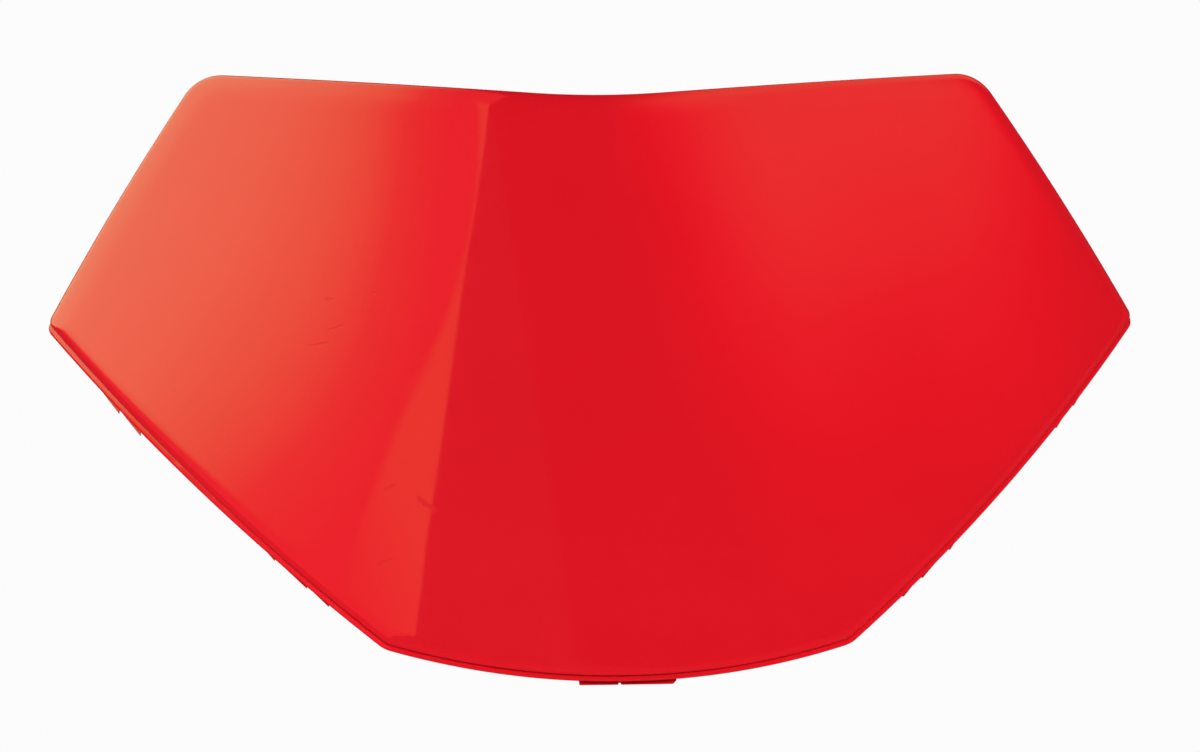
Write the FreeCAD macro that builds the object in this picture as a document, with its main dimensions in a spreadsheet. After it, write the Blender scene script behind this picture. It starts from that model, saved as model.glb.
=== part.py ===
"""Headlight number plate: one moulded shell with a set-back lip and barbed snap fingers.

The plate is drawn as it is carried on a motorbike: X across, Z up, the front facing -Y and leaning back.
The front is an arc in plan, drawn out along the lean. The origin is on the front face, on the centre line.
"""
import FreeCAD, Part
import math
import os

import Sketcher

Vector = FreeCAD.Vector

# Driving dimensions, in millimetres and degrees
SIZES = {
    # Outline in the front view, corners taken before they are rounded
    "tip_span": 231.0,
    "tip_height": 11.0,
    "top_corner_span": 166.8,
    "top_vertex_height": 58.4,
    "flank_angle": 4.45,
    "bottom_corner_span": 92.4,
    "bottom_drop": 59.5,
    "bottom_radius": 172.0,
    "lower_radius": 498.0,
    "side_radius": 672.0,
    # Rounding of the outline's corners
    "vertex_radius": 175.0,
    "top_corner_radius": 9.0,
    "tip_radius": 2.0,
    "bottom_corner_radius": 15.0,
    # Curved front and the wall behind it, depths taken along the plan radius
    "plan_radius": 225.0,
    "lean_angle": 25.0,
    "wall": 2.4,
    "flange_depth": 6.5,
    "edge_radius": 0.9,
    # Set-back lip along the lower edges
    "lip_overhang": 1.25,
    "lip_setback": 2.0,
    "lip_thickness": 1.8,
    "lip_edge_radius": 0.4,
    # Snap fingers behind the lip, with barbs that catch the rim of the mask. Their places across the plate
    # are taken from the centre line, and those of the upper fingers inwards from the tips.
    "finger_depth": 10.5,
    "bottom_finger_end": 9.2,
    "lower_finger_start": 57.4,
    "lower_finger_inner_step": 61.7,
    "lower_finger_outer_step": 68.1,
    "lower_finger_end": 70.1,
    "upper_finger_start": 20.3,
    "upper_finger_step": 15.8,
    "upper_finger_end": 11.5,
    "rim_gap": 1.2,
    "barb_length": 3.4,
    "barb_ramp": 1.2,
    "side_barb_proud": 0.7,
    "bottom_barb_drop": 0.8,
    "bottom_barb_corner": 0.7,
}

# Expressions that several pieces of the plate share
TOP_CORNER_HEIGHT = "Sizes.top_vertex_height + Sizes.top_corner_span / 2 * tan(Sizes.flank_angle * 1 deg)"
LEAN_SLOPE = "tan(Sizes.lean_angle * 1 deg)"
HOLLOW_INSET = "Sizes.lip_overhang + Sizes.wall"
LIP_BACK = "Sizes.lip_setback + Sizes.lip_thickness"
CATCH_DEPTH = f"{LIP_BACK} + Sizes.rim_gap"
BARB_BACK = f"{CATCH_DEPTH} + Sizes.barb_length"
UPPER_FINGER_START = "Sizes.tip_span / 2 - Sizes.upper_finger_start"
UPPER_FINGER_STEP = "Sizes.tip_span / 2 - Sizes.upper_finger_step"
UPPER_FINGER_END = "Sizes.tip_span / 2 - Sizes.upper_finger_end"

# Where each tooth of the side barbs starts and ends across the plate
SIDE_TEETH = {
    "lower_inner": ("Sizes.lower_finger_start", "Sizes.lower_finger_inner_step"),
    "lower_middle": ("Sizes.lower_finger_inner_step", "Sizes.lower_finger_outer_step"),
    "lower_outer": ("Sizes.lower_finger_outer_step", "Sizes.lower_finger_end"),
    "upper_inner": (UPPER_FINGER_START, UPPER_FINGER_STEP),
    "upper_outer": (UPPER_FINGER_STEP, UPPER_FINGER_END),
}

# How far a trimming tool reaches past what it trims, and the length it is drawn out
TRIM_MARGIN = 20.0
TRIM_LENGTH = 400.0

# How closely an edge has to match the place it is looked for at
MATCH = 0.01

# Sketcher's own numbers for the origin, the upright axis and the points of an edge
ORIGIN, UPRIGHT_AXIS = -1, -2
START, END, MIDDLE = 1, 2, 3

doc = FreeCAD.newDocument("headlight_number_plate")
sheet = doc.addObject("Spreadsheet::Sheet", "Sizes")
for row, (alias, number) in enumerate(SIZES.items(), start=1):
    sheet.set(f"A{row}", alias)
    sheet.set(f"B{row}", str(number))
    sheet.setAlias(f"B{row}", alias)
doc.recompute()


def value(expression):
    """What an expression over the sheet comes to."""
    return float(sheet.evalExpression(expression))


# Bodies, sketches and their constraints


def new_body(name):
    body = doc.addObject("PartDesign::Body", name)
    body.AllowCompound = True
    return body


def origin_plane(body, role):
    return next(plane for plane in body.Origin.OriginFeatures if plane.Role == role)


def new_sketch(body, name, role):
    sketch = body.newObject("Sketcher::SketchObject", name)
    sketch.AttachmentSupport = [(origin_plane(body, role), "")]
    sketch.MapMode = "FlatFace"
    return sketch


def tie(sketch, *constraint):
    sketch.addConstraint(Sketcher.Constraint(*constraint))


def drive(sketch, expression, *constraint):
    """Add a dimension to a sketch and bind it to the sheet."""
    index = sketch.addConstraint(Sketcher.Constraint(*constraint, value(expression)))
    sketch.setExpression(f"Constraints[{index}]", expression)


def join_ends(sketch, *edges):
    """Tie the end of each edge to the start of the next."""
    for edge, following in zip(edges, edges[1:]):
        tie(sketch, "Coincident", edge, END, following, START)


def arc_about(centre, start, end):
    first = math.atan2(start.y - centre.y, start.x - centre.x)
    last = math.atan2(end.y - centre.y, end.x - centre.x)
    return Part.ArcOfCircle(Part.Circle(centre, Vector(0, 0, 1), (start - centre).Length), first, last)


def arc_between(start, end, radius):
    """The arc of this radius from start to end, turning left."""
    chord = end - start
    left = Vector(-chord.y, chord.x, 0).normalize()
    centre = (start + end) * 0.5 + left * math.sqrt(radius**2 - chord.Length**2 / 4)
    return arc_about(centre, start, end)


def symmetric_pad(body, name, sketch):
    pad = body.newObject("PartDesign::Pad", name)
    pad.Profile = sketch
    pad.SideType = "Symmetric"
    pad.Length = TRIM_LENGTH
    return pad


def mirror_to_left(body, name, feature):
    mirrored = body.newObject("PartDesign::Mirrored", name)
    mirrored.Originals = [feature]
    mirrored.MirrorPlane = (origin_plane(body, "YZ_Plane"), [""])
    body.Tip = mirrored


# The outline in the front view, drawn out along Y


def outline_curves():
    """The outer outline's right half as four curves, from the bottom round to the top."""
    bottom_centre = Vector(0, value("Sizes.bottom_radius - Sizes.bottom_drop"), 0)
    lowest = Vector(0, value("-Sizes.bottom_drop"), 0)
    corner_half = value("Sizes.bottom_corner_span / 2")
    corner_fall = math.sqrt(value("Sizes.bottom_radius") ** 2 - corner_half**2)
    bottom_corner = Vector(corner_half, bottom_centre.y - corner_fall, 0)
    tip = Vector(value("Sizes.tip_span / 2"), value("Sizes.tip_height"), 0)
    top_corner = Vector(value("Sizes.top_corner_span / 2"), value(TOP_CORNER_HEIGHT), 0)
    vertex = Vector(0, value("Sizes.top_vertex_height"), 0)
    return [
        arc_about(bottom_centre, lowest, bottom_corner),
        arc_between(bottom_corner, tip, value("Sizes.lower_radius")),
        arc_between(tip, top_corner, value("Sizes.side_radius")),
        Part.LineSegment(top_corner, vertex),
    ]


def construction_outline(sketch, curves):
    """The outer outline's right half as construction edges, with every dimension bound."""
    bottom, lower, side, flank = (sketch.addGeometry(curve, True) for curve in curves)
    join_ends(sketch, bottom, lower, side, flank)
    tie(sketch, "PointOnObject", bottom, MIDDLE, UPRIGHT_AXIS)
    tie(sketch, "PointOnObject", bottom, START, UPRIGHT_AXIS)
    tie(sketch, "PointOnObject", flank, END, UPRIGHT_AXIS)
    drive(sketch, "Sizes.bottom_drop", "DistanceY", bottom, START, ORIGIN, START)
    drive(sketch, "Sizes.bottom_radius", "Radius", bottom)
    drive(sketch, "Sizes.bottom_corner_span / 2", "DistanceX", ORIGIN, START, lower, START)
    drive(sketch, "Sizes.lower_radius", "Radius", lower)
    drive(sketch, "Sizes.tip_span / 2", "DistanceX", ORIGIN, START, side, START)
    drive(sketch, "Sizes.tip_height", "DistanceY", ORIGIN, START, side, START)
    drive(sketch, "Sizes.side_radius", "Radius", side)
    drive(sketch, "Sizes.top_corner_span / 2", "DistanceX", ORIGIN, START, flank, START)
    drive(sketch, TOP_CORNER_HEIGHT, "DistanceY", ORIGIN, START, flank, START)
    drive(sketch, "Sizes.top_vertex_height", "DistanceY", ORIGIN, START, flank, END)
    return bottom, lower, side, flank


def inset_outline(body, name, bottom_inset, lower_inset, upper_inset):
    """Right half of an outline whose edges lie inside the outer outline by these expressions."""
    sketch = new_sketch(body, name, "XZ_Plane")
    curves = outline_curves()
    outer_bottom, outer_lower, outer_side, outer_flank = construction_outline(sketch, curves)
    bottom, lower, side, flank = (sketch.addGeometry(curve.copy(), False) for curve in curves)
    axis_line = sketch.addGeometry(Part.LineSegment(curves[-1].EndPoint, curves[0].StartPoint), False)
    join_ends(sketch, bottom, lower, side, flank, axis_line, bottom)
    tie(sketch, "Coincident", outer_bottom, MIDDLE, bottom, MIDDLE)
    tie(sketch, "Coincident", outer_lower, MIDDLE, lower, MIDDLE)
    tie(sketch, "Coincident", outer_side, MIDDLE, side, MIDDLE)
    tie(sketch, "Parallel", outer_flank, flank)
    tie(sketch, "PointOnObject", bottom, START, UPRIGHT_AXIS)
    tie(sketch, "PointOnObject", flank, END, UPRIGHT_AXIS)
    drive(sketch, f"Sizes.bottom_radius - ({bottom_inset})", "Radius", bottom)
    drive(sketch, f"Sizes.lower_radius - ({lower_inset})", "Radius", lower)
    drive(sketch, f"Sizes.side_radius - ({upper_inset})", "Radius", side)
    drive(sketch, f"Sizes.top_vertex_height - ({upper_inset}) / cos(Sizes.flank_angle * 1 deg)",
          "DistanceY", ORIGIN, START, flank, END)
    return sketch


def upright_edges(shape):
    """Names and front-view places of the straight edges that run along Y."""
    found = []
    for number, edge in enumerate(shape.Edges, start=1):
        box = edge.BoundBox
        if box.XLength < MATCH and box.ZLength < MATCH:
            found.append((f"Edge{number}", box.Center.x, box.Center.z))
    return found


def pair_of(edges, score):
    """The edge that scores highest on the right, and its mirror image on the left."""
    right = max((edge for edge in edges if edge[1] > MATCH), key=score)
    left = max((edge for edge in edges if edge[1] < -MATCH), key=score)
    return [right[0], left[0]]


def vertex_edge(edges):
    return [max((edge for edge in edges if abs(edge[1]) < MATCH), key=lambda edge: edge[2])[0]]


def top_corner_edges(edges):
    return pair_of(edges, lambda edge: edge[2])


def bottom_corner_edges(edges):
    return pair_of(edges, lambda edge: -edge[2])


def tip_edges(edges):
    return pair_of(edges, lambda edge: abs(edge[1]))


def round_corner(body, name, pick, radius):
    doc.recompute()
    feature = body.Tip
    fillet = body.newObject("PartDesign::Fillet", name)
    fillet.Base = (feature, pick(upright_edges(feature.Shape)))
    fillet.setExpression("Radius", radius)


def outline_prism(name, bottom_inset, lower_inset, upper_inset):
    """A block as deep as the trimming tools, with the outline inset by these expressions."""
    body = new_body(f"{name}_prism")
    sketch = inset_outline(body, f"{name}_outline", bottom_inset, lower_inset, upper_inset)
    pad = symmetric_pad(body, f"{name}_right_half", sketch)
    mirror_to_left(body, f"{name}_both_halves", pad)
    round_corner(body, f"{name}_vertex", vertex_edge, f"Sizes.vertex_radius + ({upper_inset})")
    round_corner(body, f"{name}_top_corners", top_corner_edges,
                 f"Sizes.top_corner_radius - ({upper_inset})")
    round_corner(body, f"{name}_bottom_corners", bottom_corner_edges,
                 f"Sizes.bottom_corner_radius - ({lower_inset})")
    return body


# Leaning bands between two plan arcs, which give the front, the lip and the hollow their curve


def plan_band(name, near, far):
    """The space between two depths behind the front face, drawn out along the lean."""
    body = new_body(f"{name}_band")
    sketch = new_sketch(body, f"{name}_plan", "XY_Plane")
    half_reach = f"Sizes.tip_span / 2 + {TRIM_MARGIN}"
    centre = Vector(0, value("Sizes.plan_radius"), 0)
    edges = []
    for depth in (near, far):
        radius = value(f"Sizes.plan_radius - ({depth})")
        reach = value(half_reach)
        front = centre.y - math.sqrt(radius**2 - reach**2)
        curve = arc_about(centre, Vector(-reach, front, 0), Vector(reach, front, 0))
        edges.append((sketch.addGeometry(curve, False), curve))
    (front, front_curve), (back, back_curve) = edges
    right = sketch.addGeometry(Part.LineSegment(front_curve.EndPoint, back_curve.EndPoint), False)
    left = sketch.addGeometry(Part.LineSegment(back_curve.StartPoint, front_curve.StartPoint), False)
    tie(sketch, "Coincident", front, END, right, START)
    tie(sketch, "Coincident", right, END, back, END)
    tie(sketch, "Coincident", back, START, left, START)
    tie(sketch, "Coincident", left, END, front, START)
    tie(sketch, "Vertical", right)
    tie(sketch, "Vertical", left)
    tie(sketch, "PointOnObject", front, MIDDLE, UPRIGHT_AXIS)
    tie(sketch, "Coincident", front, MIDDLE, back, MIDDLE)
    drive(sketch, "Sizes.plan_radius", "DistanceY", ORIGIN, START, front, MIDDLE)
    drive(sketch, f"Sizes.plan_radius - ({near})", "Radius", front)
    drive(sketch, f"Sizes.plan_radius - ({far})", "Radius", back)
    drive(sketch, half_reach, "DistanceX", ORIGIN, START, front, END)
    drive(sketch, half_reach, "DistanceX", front, START, ORIGIN, START)
    pad = symmetric_pad(body, f"{name}_leaning", sketch)
    pad.UseCustomVector = True
    pad.Direction = Vector(0, 0, 1)
    pad.setExpression("Direction.y", LEAN_SLOPE)
    return body


# Blocks drawn in the front view for the snap fingers and their barbs


def closed_lines(sketch, corners):
    """Straight lines from each corner to the next and back to the first."""
    lines = [
        sketch.addGeometry(Part.LineSegment(start, end), False)
        for start, end in zip(corners, corners[1:] + corners[:1])
    ]
    join_ends(sketch, *lines, lines[0])
    return lines


def finger_windows():
    """Upright windows that leave the snap fingers standing."""
    body = new_body("finger_windows")
    sketch = new_sketch(body, "finger_places", "XZ_Plane")
    spans = [
        (None, "Sizes.bottom_finger_end"),
        ("Sizes.lower_finger_start", "Sizes.lower_finger_end"),
        (UPPER_FINGER_START, UPPER_FINGER_END),
    ]
    reach_down = f"Sizes.bottom_drop + {TRIM_MARGIN}"
    low = -value(reach_down)
    high = value("Sizes.tip_height")
    for near, far in spans:
        near_place = value(near) if near else 0.0
        far_place = value(far)
        below, outer, above, inner = closed_lines(sketch, [
            Vector(near_place, low, 0),
            Vector(far_place, low, 0),
            Vector(far_place, high, 0),
            Vector(near_place, high, 0),
        ])
        tie(sketch, "Horizontal", below)
        tie(sketch, "Vertical", outer)
        tie(sketch, "Horizontal", above)
        tie(sketch, "Vertical", inner)
        if near:
            drive(sketch, near, "DistanceX", ORIGIN, START, below, START)
        else:
            tie(sketch, "PointOnObject", below, START, UPRIGHT_AXIS)
        drive(sketch, far, "DistanceX", ORIGIN, START, below, END)
        drive(sketch, reach_down, "DistanceY", below, START, ORIGIN, START)
        drive(sketch, "Sizes.tip_height", "DistanceY", ORIGIN, START, above, START)
    pad = symmetric_pad(body, "right_fingers", sketch)
    mirror_to_left(body, "both_sides_fingers", pad)
    return body


def bottom_barb():
    """The straight bottom barb, square at its left end and cut back at its right end."""
    body = new_body("bottom_barb_front")
    sketch = new_sketch(body, "bottom_barb_outline", "XZ_Plane")
    reach = "Sizes.bottom_finger_end"
    drop = "Sizes.bottom_drop + Sizes.bottom_barb_drop"
    corner = "Sizes.bottom_barb_corner"
    half_width = value(reach)
    low = -value(drop)
    high = value("Sizes.tip_height")
    below, slope, right, above, left = closed_lines(sketch, [
        Vector(-half_width, low, 0),
        Vector(half_width - value(corner), low, 0),
        Vector(half_width, low + value(corner), 0),
        Vector(half_width, high, 0),
        Vector(-half_width, high, 0),
    ])
    tie(sketch, "Horizontal", below)
    tie(sketch, "Vertical", right)
    tie(sketch, "Horizontal", above)
    tie(sketch, "Vertical", left)
    drive(sketch, reach, "DistanceX", below, START, ORIGIN, START)
    drive(sketch, reach, "DistanceX", ORIGIN, START, right, START)
    drive(sketch, corner, "DistanceX", slope, START, slope, END)
    drive(sketch, corner, "DistanceY", slope, START, slope, END)
    drive(sketch, drop, "DistanceY", below, START, ORIGIN, START)
    drive(sketch, "Sizes.tip_height", "DistanceY", ORIGIN, START, above, START)
    symmetric_pad(body, "bottom_barb_prism", sketch)
    return body


def side_teeth(name, near, far):
    """A tooth on each side, proud of the lip at its inner end and level with it at its outer end."""
    body = new_body(f"{name}_teeth")
    sketch = new_sketch(body, f"{name}_front", "XZ_Plane")
    curves = outline_curves()
    lip_line = construction_outline(sketch, curves)[1]
    centre = curves[1].Center
    proud_radius = "Sizes.lower_radius + Sizes.side_barb_proud"
    proud_line = sketch.addGeometry(Part.Circle(centre, Vector(0, 0, 1), value(proud_radius)), True)
    tie(sketch, "Coincident", lip_line, MIDDLE, proud_line, MIDDLE)
    drive(sketch, proud_radius, "Radius", proud_line)

    def below_centre(radius, place):
        across = value(place)
        return Vector(across, centre.y - math.sqrt(value(radius) ** 2 - (across - centre.x) ** 2), 0)

    high = value("Sizes.tip_height")
    slope, outer, above, inner = closed_lines(sketch, [
        below_centre(proud_radius, near),
        below_centre("Sizes.lower_radius", far),
        Vector(value(far), high, 0),
        Vector(value(near), high, 0),
    ])
    tie(sketch, "Vertical", outer)
    tie(sketch, "Horizontal", above)
    tie(sketch, "Vertical", inner)
    tie(sketch, "PointOnObject", slope, START, proud_line)
    tie(sketch, "PointOnObject", slope, END, lip_line)
    drive(sketch, near, "DistanceX", ORIGIN, START, slope, START)
    drive(sketch, far, "DistanceX", ORIGIN, START, slope, END)
    drive(sketch, "Sizes.tip_height", "DistanceY", ORIGIN, START, above, START)
    pad = symmetric_pad(body, f"{name}_right", sketch)
    mirror_to_left(body, f"{name}_both_sides", pad)
    return body


# Joining, cutting and dressing finished blocks


def common(name, *shapes):
    result = doc.addObject("Part::MultiCommon", name)
    result.Shapes = list(shapes)
    return result


def fuse(name, *shapes):
    result = doc.addObject("Part::MultiFuse", name)
    result.Shapes = list(shapes)
    result.Refine = True
    return result


def cut(name, base, tool):
    result = doc.addObject("Part::Cut", name)
    result.Base = base
    result.Tool = tool
    result.Refine = True
    return result


def depth_behind_front(point):
    """How far a point lies behind the front face, along the plan radius."""
    radius = value("Sizes.plan_radius")
    return radius - math.hypot(point.x, point.y - value(LEAN_SLOPE) * point.z - radius)


def edges_at_depth(shape, depth):
    """Names and edges of those that lie wholly at this depth behind the front face."""
    found = []
    for number, edge in enumerate(shape.Edges, start=1):
        points = edge.discretize(5)
        if all(abs(depth_behind_front(point) - value(depth)) < MATCH for point in points):
            found.append((f"Edge{number}", edge))
    return found


def dressed(name, base, feature_type, edges, dimension, expression):
    """A body that rounds or chamfers these edges of a finished block."""
    body = new_body(name)
    body.BaseFeature = base
    doc.recompute()
    feature = body.newObject(feature_type, f"{name}_edges")
    feature.Base = (body.Group[0], [edge_name for edge_name, edge in edges])
    feature.setExpression(dimension, expression)
    doc.recompute()
    return body


# The plate: face, lip, fingers and barbs as full blocks, then the hollow taken out of them all

overhang = "Sizes.lip_overhang"
face_prism = outline_prism("face", overhang, overhang, "0")
round_corner(face_prism, "face_tips", tip_edges, "Sizes.tip_radius")
lip_prism = outline_prism("lip", "0", "0", "0")
round_corner(lip_prism, "lip_tips", tip_edges, "Sizes.tip_radius")
hollow_prism = outline_prism("hollow", HOLLOW_INSET, HOLLOW_INSET, "Sizes.wall")
windows = finger_windows()

face_block = common("face_block", face_prism, plan_band("face", "0", "Sizes.flange_depth"))
finger_band = plan_band("finger", "Sizes.wall", "Sizes.finger_depth")
finger_block = common("finger_block", face_prism, windows, finger_band)
lip_block = common("lip_block", lip_prism, plan_band("lip", "Sizes.lip_setback", LIP_BACK))
barb_band = plan_band("barb", CATCH_DEPTH, BARB_BACK)
barb_blocks = {"bottom": common("bottom_block", bottom_barb(), barb_band)}
for name, (near, far) in SIDE_TEETH.items():
    barb_blocks[name] = common(f"{name}_block", side_teeth(name, near, far), barb_band)
hollow_band = plan_band("hollow", "Sizes.wall", f"Sizes.finger_depth + {TRIM_MARGIN}")
hollow_block = common("hollow_block", hollow_prism, hollow_band)
doc.recompute()

lip_front_edges = edges_at_depth(lip_block.Shape, "Sizes.lip_setback")
lip = dressed("lip", lip_block, "PartDesign::Fillet", lip_front_edges, "Radius", "Sizes.lip_edge_radius")


def ramped(name, block):
    """Ramps the outer edges of a barb's back; its ends are upright and its top is level with the tips."""
    outer_edges = [
        (edge_name, edge) for edge_name, edge in edges_at_depth(block.Shape, BARB_BACK)
        if edge.BoundBox.XLength > MATCH and edge.BoundBox.ZMax < value("Sizes.tip_height") - MATCH
    ]
    return dressed(name, block, "PartDesign::Chamfer", outer_edges, "Size", "Sizes.barb_ramp")


barbs = [ramped(f"{name}_barb", block) for name, block in barb_blocks.items()]

full_block = fuse("full_block", face_block, finger_block, lip, *barbs)
moulding = cut("moulding", full_block, hollow_block)
doc.recompute()
face_edges = edges_at_depth(moulding.Shape, "0")
plate = dressed("number_plate", moulding, "PartDesign::Fillet", face_edges, "Radius", "Sizes.edge_radius")

for item in doc.Objects:
    if "Invalid" in item.State or "Error" in item.State:
        raise RuntimeError(f"{item.Name} did not compute")
if plate.Shape.isNull() or not plate.Shape.isValid() or len(plate.Shape.Solids) != 1:
    raise RuntimeError("number_plate is not one valid solid")
os.makedirs("parts", exist_ok=True)
plate.Shape.exportStep("parts/number_plate.step")
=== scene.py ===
"""Headlight number plate: the moulded plate in gloss red plastic, and the studio it is shown in.

The plate is modelled flat, with Y as the depth behind its front face, and is then curved and leaned back.
"""
import math

import bmesh
import bpy
from mathutils import Matrix, Vector


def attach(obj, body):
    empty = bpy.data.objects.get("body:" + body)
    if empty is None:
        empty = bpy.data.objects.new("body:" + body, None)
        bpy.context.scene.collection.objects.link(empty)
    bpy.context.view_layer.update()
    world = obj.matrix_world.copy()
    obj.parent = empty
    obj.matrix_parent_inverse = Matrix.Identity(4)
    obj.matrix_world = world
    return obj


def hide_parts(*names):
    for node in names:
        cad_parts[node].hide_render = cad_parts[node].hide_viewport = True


bl_info = {
    "name": "Headlight number plate",
    "version": (1, 0, 0),
    "blender": (4, 5, 0),
    "location": "3D View > Sidebar > Number plate",
    "description": "Models a curved snap-in number plate for a motorbike headlight mask",
    "category": "Add Mesh",
}

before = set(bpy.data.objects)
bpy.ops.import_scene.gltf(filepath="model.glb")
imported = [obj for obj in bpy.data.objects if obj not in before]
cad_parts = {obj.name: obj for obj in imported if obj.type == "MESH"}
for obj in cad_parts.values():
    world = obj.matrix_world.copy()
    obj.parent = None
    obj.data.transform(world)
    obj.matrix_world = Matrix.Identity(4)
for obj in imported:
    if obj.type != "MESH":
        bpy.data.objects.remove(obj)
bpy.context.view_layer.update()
NODE = "number_plate"
MM = 0.001

# Points along each stretch of the right half of an outline, from the bottom round to the top
BOTTOM_POINTS = 24
BOTTOM_CORNER_POINTS = 12
LOWER_POINTS = 48
TIP_POINTS = 8
SIDE_POINTS = 32
TOP_CORNER_POINTS = 14
FLANK_POINTS = 28
VERTEX_POINTS = 8

# Steps of the front's soft rounding, of the lip's edge and of the small edges behind
ROLL_STEPS = 12
LIP_STEPS = 6
BACK_STEPS = 3

# Below 1, the front's rounding starts more gently than a circle and ends more tightly
ROLL_FULLNESS = 2 / 3

# Spacing of the cuts that let the flat plate follow its curve
CUT_ACROSS = 2.5 * MM
CUT_UP = 8.0 * MM

# How near two points count as one, and how near a point counts as on a cut
TOUCH = 0.001 * MM
CUT_TOUCH = TOUCH / 10

# Width of the upright step between two teeth
STEP = 0.04 * MM

# Width of the border between the front's middle and its rounding
FRONT_BORDER = 0.25 * MM

# How far the lip sinks into the wall along the upper edges
LIP_SUNK = 0.3 * MM

# Margin that tells the fingers' outer sides from their other faces
OUTER_SIDE_MARGIN = 0.1 * MM

# Share of the depth direction past which a face is on the back, and the angle past which an edge is sharp
BACK_FACING = 0.5
SHARP_ANGLE = math.radians(30)

# The two sides of the plate, as signs of X
RIGHT, LEFT = 1, -1

# Noise values between which a pattern goes from its lowest to its highest
FIRM = (0.35, 0.65)
GENTLE = (0.30, 0.70)

# Sockets of a colour mix, by number because their names repeat
MIX_SHARE, MIX_FIRST, MIX_SECOND, MIX_RESULT = 0, 6, 7, 2

# Patterns of the polished front: size of their spots, change in roughness and relief
CLOUD_SIZE = 38.0 * MM
WAVE_SIZE = 42.0 * MM
PEEL_SIZE = 1.6 * MM
PEEL_ROUGHNESS = 0.006
PEEL_HEIGHT = 0.0008 * MM
SMUDGE_SIZE = 17.0 * MM
SMUDGE_RANGE = (0.58, 0.74)
SMUDGE_ROUGHNESS = 0.03

# Hairline scratches: length, width, slope and the noise values between which they show
SCRATCHES = (
    (45.0 * MM, 0.30 * MM, math.radians(38), (0.68, 0.78)),
    (30.0 * MM, 0.25 * MM, math.radians(-57), (0.70, 0.80)),
)
SCRATCH_ROUGHNESS = 0.03
SCRATCH_DEPTH = 0.0010 * MM

# Patterns of the moulded back: flow streaks, fine grain and the marks of the ejector pins
FLOW_LENGTH = 70.0 * MM
FLOW_WIDTH = 6.0 * MM
FLOW_TURN = math.radians(80)
FLOW_ROUGHNESS = 0.03
GRAIN_SIZE = 0.45 * MM
GRAIN_ROUGHNESS = 0.05
GRAIN_HEIGHT = 0.006 * MM
PIN_SPACING_ACROSS = 52.0 * MM
PIN_SPACING_UP = 44.0 * MM
PIN_RADIUS = 3.0 * MM
PIN_BORDER = 0.15 * MM
PIN_POLISH = 0.10
PIN_DEPTH = 0.06 * MM

# How strongly the scuffs show, and between which shares of their oval they fade
SCUFF_TINT = 0.6
SCUFF_ROUGHNESS = 0.30
SCUFF_DEPTH = 0.006 * MM
SCUFF_FADE = (0.2, 1.1)

# Spots to the metre in the scuffs' ragged border, and a depth that reaches through the whole plate
SCUFF_RAGGEDNESS = 900.0
SCUFF_THROUGH = 100.0

# Small scuffs on the left of the front: across, height, half length, half width and slope
SCUFFS = (
    (-58.5 * MM, 7.0 * MM, 2.8 * MM, 0.42 * MM, math.radians(10)),
    (-55.0 * MM, 10.4 * MM, 2.4 * MM, 0.36 * MM, math.radians(18)),
    (-56.2 * MM, 16.2 * MM, 1.6 * MM, 0.50 * MM, math.radians(4)),
    (-49.0 * MM, 15.1 * MM, 0.5 * MM, 0.40 * MM, math.radians(30)),
    (-47.0 * MM, 17.2 * MM, 0.6 * MM, 0.45 * MM, math.radians(0)),
    (-44.5 * MM, -21.6 * MM, 1.8 * MM, 0.40 * MM, math.radians(25)),
    (-37.5 * MM, -25.0 * MM, 2.8 * MM, 0.60 * MM, math.radians(-35)),
    (-45.8 * MM, -36.2 * MM, 2.0 * MM, 0.36 * MM, math.radians(20)),
)

# The photographer's view: lens in millimetres, then how the camera is turned, rolled and placed
LENS = 116.05
VIEW_YAW = math.radians(4.24)
VIEW_ROLL = math.radians(-0.45)
VIEW_AIM = (-2.0 * MM, 0.0, 0.16 * MM)
VIEW_DISTANCE = 0.78
VIEW_REACH = 50.0

# The studio: strength of the white backdrop to the camera and to everything else, and the pale floor
WHITE = (1.0, 1.0, 1.0, 1.0)
BACKDROP_TO_CAMERA = 0.973
BACKDROP_LIGHT = 0.05
FLOOR_GREY = (0.8, 0.8, 0.8, 1.0)
FLOOR_ROUGHNESS = 0.9
FLOOR_SIZE = 8.0
FLOOR_HEIGHT = -0.9
FLOOR_TO_CAMERA = 0.75

# Lamps: name, place, width, height and watts
LAMPS = (
    ("front_lamp", (0.0, -1.95, 0.45), 1.4, 0.5, 34.0),
    ("left_lamp", (-1.85, -0.30, 0.35), 1.0, 0.6, 13.0),
    ("right_lamp", (1.85, -0.30, 0.35), 1.0, 0.6, 13.5),
)

# The two cards: their distance from the plate, and the brightness that is the most they can show
CARD_DISTANCE = 2.0
CARD_PEAK = 4.2

# The left softbox: its direction, its corners, and its brightness from its far side to its near edge
SOFTBOX_AZIMUTH = math.radians(-48)
SOFTBOX_ELEVATION = math.radians(47)
SOFTBOX_CORNERS = (
    (-3.6, -0.9),
    (0.457, -0.9),
    (0.726, 0.46),
    (0.65, 0.65),
    (0.5, 1.0),
    (-0.2, 2.4),
    (-3.6, 2.4),
)
SOFTBOX_STOPS = (
    (-0.35, (3.9, 3.7, 1.9)),
    (0.10, (3.7, 2.5, 1.2)),
    (0.30, (3.3, 1.6, 0.7)),
    (0.45, (3.0, 0.5, 0.3)),
    (0.60, (3.0, 0.2, 0.2)),
)

# Heights below which the softbox's brightness bends and above which it leans, and how much
SOFTBOX_BEND_BELOW = 0.29
SOFTBOX_BEND = 1.75
SOFTBOX_LEAN_ABOVE = 0.46
SOFTBOX_LEAN = 0.5

# The softbox's pale band: its border as a curve of the height, where it fades, and its brightness
BAND_BORDER = (-3.0, 0.8, 0.8, 0.45)
BAND_SOFTNESS = 0.012
BAND_START = (-0.20, 0.10)
BAND_END = (0.5, 0.7)
BAND_BRIGHTNESS = (3.0, 0.7, 0.3)

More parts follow.
